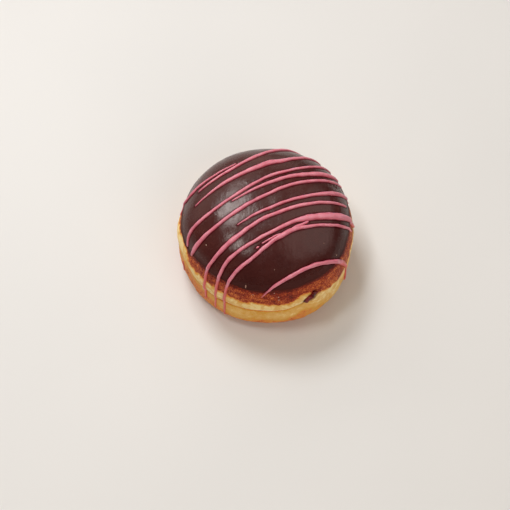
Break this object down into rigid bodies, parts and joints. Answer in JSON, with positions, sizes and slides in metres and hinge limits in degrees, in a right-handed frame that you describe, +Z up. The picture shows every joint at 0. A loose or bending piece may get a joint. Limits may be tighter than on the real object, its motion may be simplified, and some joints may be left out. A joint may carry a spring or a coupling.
{
  "type": "jelly filled doughnut",
  "caption": "Round yeast doughnut to be eaten by hand: fried dough filled with red jelly through a hole in its side, with a chocolate icing cap and pink icing drizzle",
  "frame": {"origin": "middle of the flat underside", "axes": "+Z up out of the chocolate cap, -Y the side with the filling hole, +X to the right when that side is seen from the front"},
  "size_m": [0.0901, 0.089, 0.0531],
  "materials": {
    "fried_dough": "soft fried crust, golden brown with a pale band round the middle",
    "jelly": "wet, dark red",
    "chocolate_icing": "set chocolate icing, satin gloss",
    "pink_icing": "piped pink icing, satin"
  },
  "bodies": {
    "root": {"dough": "fried_dough", "jelly_filling": "jelly", "chocolate_icing": "chocolate_icing", "drizzle_01": "pink_icing", "drizzle_02": "pink_icing", "drizzle_03": "pink_icing", "drizzle_04": "pink_icing", "drizzle_05": "pink_icing", "drizzle_06": "pink_icing", "drizzle_07": "pink_icing", "drizzle_08": "pink_icing", "drizzle_09": "pink_icing", "drizzle_10": "pink_icing", "drizzle_11": "pink_icing"}
  },
  "joints": []
}
